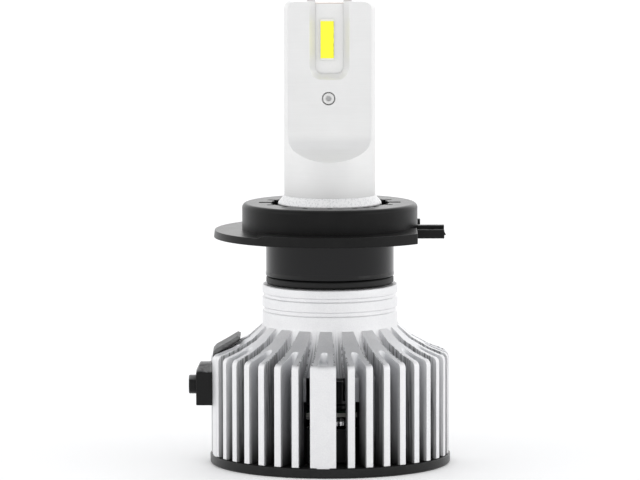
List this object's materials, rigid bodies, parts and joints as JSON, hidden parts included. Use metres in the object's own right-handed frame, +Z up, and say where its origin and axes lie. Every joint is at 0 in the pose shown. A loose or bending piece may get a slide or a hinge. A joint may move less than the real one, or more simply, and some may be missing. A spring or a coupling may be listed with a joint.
{
  "type": "headlight bulb",
  "caption": "LED headlight bulb: finned heat sink with fan and driver, push-and-turn base adaptor with locating tab, and a flat-sided post with a light strip on each side.",
  "frame": {"origin": "middle of the base cover's flat underside, on the optical axis", "axes": "+Z up the optical axis towards the post's tip, -Y towards the front light strip, +X towards the adaptor's locating tab"},
  "size_m": [0.0388, 0.0356, 0.0687],
  "materials": {
    "cast_aluminium": "bead-blasted die cast",
    "machined_aluminium": "satin machined",
    "black_plastic": "matt moulded nylon",
    "gloss_black": "polished moulding",
    "seal_rubber": "moulded rubber",
    "fan_plastic": "moulded, fine texture",
    "steel": "plated",
    "brass": "sintered",
    "copper": "rolled copper",
    "ferrite": "pressed ferrite",
    "board_green": "solder mask",
    "board_white": "white solder mask",
    "chip_black": "moulded epoxy",
    "solder": "bright solder",
    "phosphor": "phosphor in silicone",
    "wire_red": "wire insulation"
  },
  "bodies": {
    "root": {"base_cover": "black_plastic", "cover_screw_1": "steel", "cover_screw_2": "steel", "cover_screw_3": "steel", "cover_screw_4": "steel", "heat_sink": "cast_aluminium", "fan_frame": "fan_plastic", "fan_bearing": "brass", "fan_stator": "steel", "fan_coil_1": "copper", "fan_coil_2": "copper", "fan_coil_3": "copper", "fan_coil_4": "copper", "driver_board": "board_green", "driver_capacitor_1": "machined_aluminium", "driver_capacitor_2": "machined_aluminium", "driver_inductor": "ferrite", "driver_controller": "chip_black", "driver_mosfet": "chip_black", "driver_terminal_1": "solder", "driver_terminal_2": "solder", "driver_terminal_3": "solder", "led_wire_plus": "wire_red", "led_wire_minus": "seal_rubber", "inlet_block": "black_plastic", "inlet_pin_1": "solder", "inlet_pin_2": "solder", "lead_clip": "black_plastic", "hub": "cast_aluminium", "post_front": "machined_aluminium", "post_rear": "machined_aluminium", "heat_spreader": "copper", "led_board_front": "board_white", "led_board_rear": "board_white", "led_strip_front": "phosphor", "led_strip_rear": "phosphor", "post_screw": "steel"},
    "rotor": {"fan_rotor": "fan_plastic", "fan_magnet": "ferrite", "fan_shaft": "steel"},
    "seal": {"o_ring": "seal_rubber"},
    "adaptor": {"adaptor_neck": "gloss_black", "adaptor_body": "black_plastic"}
  },
  "joints": [
    {"name": "fan_spin", "type": "hinge", "parent": "root", "child": "rotor", "pos_m": [0, 0, 0.0042], "axis": [0, 0, 1], "continuous": true},
    {"name": "adaptor_turn", "type": "hinge", "parent": "root", "child": "seal", "pos_m": [0, 0, 0.02799], "axis": [0, 0, 1], "range_deg": [0, 25]},
    {"name": "adaptor_lift", "type": "slide", "parent": "seal", "child": "adaptor", "axis": [0, 0, 1], "range_m": [0, 0.042]}
  ]
}
